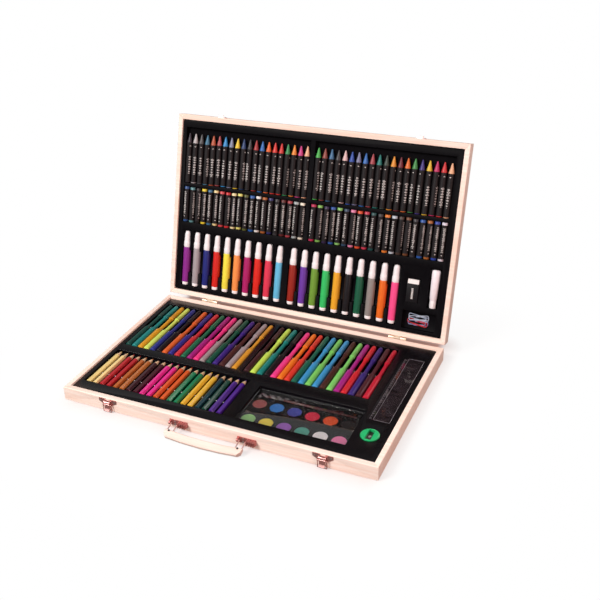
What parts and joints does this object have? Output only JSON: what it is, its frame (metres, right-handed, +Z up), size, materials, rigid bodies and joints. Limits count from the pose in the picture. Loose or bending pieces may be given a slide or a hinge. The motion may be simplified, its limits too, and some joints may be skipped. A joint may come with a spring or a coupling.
{
  "type": "wooden art case",
  "caption": "Shallow hinged wooden case standing open, with moulded trays of pens, pencils, crayons, pastels and markers, two front latches and a carrying handle.",
  "frame": {"origin": "centre of the base's underside, on the surface that the case stands on", "axes": "+X to the right along the case's length, +Y to the back where the hinges are, +Z up"},
  "size_m": [0.435, 0.3948, 0.2873],
  "materials": {
    "case_wood": "satin",
    "case_plywood": "satin",
    "tray_plastic": "gloss",
    "pen_plastic": "satin",
    "cap_plastic": "gloss",
    "pencil_paint": "gloss",
    "pigment": "matte",
    "wax": "satin",
    "sleeve_paper": "matte",
    "palette_plastic": "gloss",
    "clear_plastic": "gloss",
    "brush_bristle": "matte",
    "brush_wood": "gloss",
    "bright_steel": "polished",
    "steel": "brushed",
    "sharpener_plastic": "satin",
    "hinge_brass": "satin",
    "fitting_metal": "satin",
    "eraser_rubber": "matte",
    "tube_plastic": "gloss",
    "clip_wire": "gloss"
  },
  "bodies": {
    "base": {"base_front_rail": "case_wood", "base_back_rail": "case_wood", "base_left_rail": "case_wood", "base_right_rail": "case_wood", "base_panel": "case_plywood", "base_tray": "tray_plastic", "fibre_pen_barrels": "pen_plastic", "fibre_pen_caps": "cap_plastic", "pencil_bodies": "pencil_paint", "pencil_leads": "pigment", "palette_box": "palette_plastic", "paint_cakes": "pigment", "palette_cover": "clear_plastic", "brush_hair": "brush_bristle", "brush_ferrule": "bright_steel", "brush_handle": "brush_wood", "ruler": "clear_plastic", "sharpener_body": "sharpener_plastic", "sharpener_blade": "steel", "sharpener_screw": "bright_steel", "hinge_leaves_base": "hinge_brass", "hinge_pins": "bright_steel", "hinge_screws_base": "bright_steel", "latch_plates": "fitting_metal", "latch_pins": "bright_steel", "front_nails": "bright_steel", "handle_brackets": "fitting_metal"},
    "lid": {"lid_hinge_rail": "case_wood", "lid_far_rail": "case_wood", "lid_left_rail": "case_wood", "lid_right_rail": "case_wood", "lid_panel": "case_plywood", "lid_tray": "tray_plastic", "crayon_sticks": "wax", "pastel_sticks": "wax", "marker_plugs": "cap_plastic", "marker_barrels": "pen_plastic", "marker_caps": "cap_plastic", "eraser": "eraser_rubber", "eraser_sleeve": "sleeve_paper", "glue_tube": "tube_plastic", "glue_tube_cap": "cap_plastic", "paper_clips": "clip_wire", "hinge_leaves_lid": "hinge_brass", "hinge_screws_lid": "bright_steel", "latch_strikes": "fitting_metal", "strike_nails": "bright_steel"},
    "latch_left_lever": {"latch_lever_left": "fitting_metal"},
    "latch_right_lever": {"latch_lever_right": "fitting_metal"},
    "latch_left_loop": {"latch_loop_left": "fitting_metal"},
    "latch_right_loop": {"latch_loop_right": "fitting_metal"},
    "handle": {"handle_bails": "bright_steel", "handle_bar": "case_wood", "handle_bar_screws": "bright_steel"}
  },
  "joints": [
    {"name": "lid_hinge", "type": "hinge", "parent": "base", "child": "lid", "pos_m": [0, 0.1385, 0.02015], "axis": [1, 0, 0], "range_deg": [0, 106]},
    {"name": "left_lever_pivot", "type": "hinge", "parent": "base", "child": "latch_left_lever", "pos_m": [-0.148, -0.139, 0.015], "axis": [-1, 0, 0], "range_deg": [0, 90]},
    {"name": "right_lever_pivot", "type": "hinge", "parent": "base", "child": "latch_right_lever", "pos_m": [0.15, -0.139, 0.015], "axis": [-1, 0, 0], "range_deg": [0, 90]},
    {"name": "left_loop_pivot", "type": "hinge", "parent": "latch_left_lever", "child": "latch_left_loop", "pos_m": [-0.148, -0.139, 0.0116], "axis": [-1, 0, 0], "range_deg": [0, 88]},
    {"name": "right_loop_pivot", "type": "hinge", "parent": "latch_right_lever", "child": "latch_right_loop", "pos_m": [0.15, -0.139, 0.0116], "axis": [-1, 0, 0], "range_deg": [0, 88]},
    {"name": "handle_swing", "type": "hinge", "parent": "base", "child": "handle", "pos_m": [-0.0005, -0.1389, 0.0096], "axis": [-1, 0, 0], "range_deg": [0, 98]}
  ]
}
